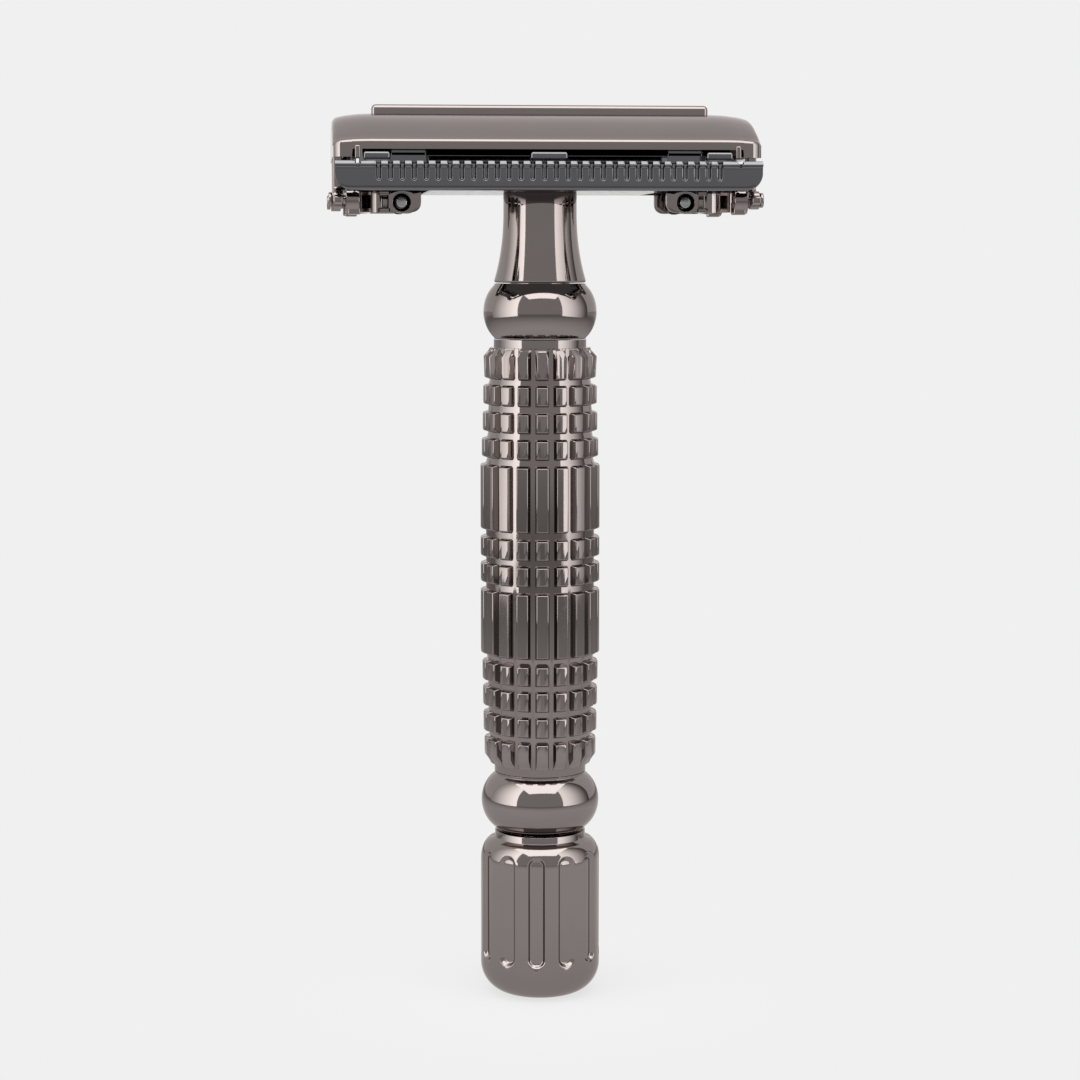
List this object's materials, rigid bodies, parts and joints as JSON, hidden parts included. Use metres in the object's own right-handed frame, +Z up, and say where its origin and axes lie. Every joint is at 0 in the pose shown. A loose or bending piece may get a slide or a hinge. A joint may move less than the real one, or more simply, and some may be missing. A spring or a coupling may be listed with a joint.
{
  "type": "safety razor",
  "caption": "Twist-to-open double-edge safety razor with hinged top doors over a bar guard, a textured round handle and a fluted turning knob.",
  "frame": {"origin": "centre of the flat base of the turning knob, on the handle's axis, where the razor stands", "axes": "+Z up along the handle to the head, +X along the length of the head, -Y towards the front door"},
  "size_m": [0.0454, 0.0244, 0.097],
  "materials": {
    "gunmetal_plate": "mirror-polished warm gunmetal plating on cast and turned metal",
    "dark_chrome": "polished dark neutral plating on the guard and the blade bed",
    "pin_steel": "plain turned steel",
    "spring_steel": "hardened spring steel",
    "bush_brass": "turned brass"
  },
  "bodies": {
    "handle": {"grip_barrel": "gunmetal_plate", "lower_bead": "gunmetal_plate", "upper_bead": "gunmetal_plate", "neck_tube": "gunmetal_plate", "neck_collar": "pin_steel", "bearing_bush": "bush_brass", "guard_plate": "dark_chrome", "blade_bed": "dark_chrome", "bed_post_front_left": "pin_steel", "bed_post_rear_left": "pin_steel", "bed_post_front_right": "pin_steel", "bed_post_rear_right": "pin_steel", "centre_bar": "gunmetal_plate", "bar_rivet_left": "pin_steel", "bar_rivet_right": "pin_steel"},
    "knob": {"knob": "gunmetal_plate", "drive_screw": "pin_steel", "spring_washer": "spring_steel", "thrust_washer": "bush_brass", "retaining_clip": "spring_steel"},
    "carriage": {"lift_nut": "bush_brass", "lift_rod": "pin_steel", "crossbar_screw": "pin_steel", "crossbar": "pin_steel", "end_bracket_right": "gunmetal_plate", "end_bracket_left": "gunmetal_plate", "bracket_pin_right": "pin_steel", "bracket_pin_left": "pin_steel", "hinge_pin_front_right": "gunmetal_plate", "hinge_pin_front_left": "gunmetal_plate", "hinge_pin_rear_left": "gunmetal_plate", "hinge_pin_rear_right": "gunmetal_plate"},
    "door_front": {"door_front": "gunmetal_plate"},
    "door_rear": {"door_rear": "gunmetal_plate"}
  },
  "joints": [
    {"name": "knob_turn", "type": "hinge", "parent": "handle", "child": "knob", "pos_m": [0, 0, 0.009], "axis": [0, 0, 1], "range_deg": [0, 540]},
    {"name": "carriage_lift", "type": "slide", "parent": "handle", "child": "carriage", "axis": [0, 0, 1], "range_m": [0, 0.003]},
    {"name": "door_front_hinge", "type": "hinge", "parent": "carriage", "child": "door_front", "pos_m": [0, -0.0085, 0.08675], "axis": [1, 0, 0], "range_deg": [0, 80]},
    {"name": "door_rear_hinge", "type": "hinge", "parent": "carriage", "child": "door_rear", "pos_m": [0, 0.0085, 0.08675], "axis": [-1, 0, 0], "range_deg": [0, 80]}
  ],
  "couplings": [
    {"joint": "knob_turn", "follows": "carriage_lift", "rad_per_m": 3141.6},
    {"joint": "door_front_hinge", "follows": "carriage_lift", "rad_per_m": 465.42},
    {"joint": "door_rear_hinge", "follows": "carriage_lift", "rad_per_m": 465.42}
  ]
}
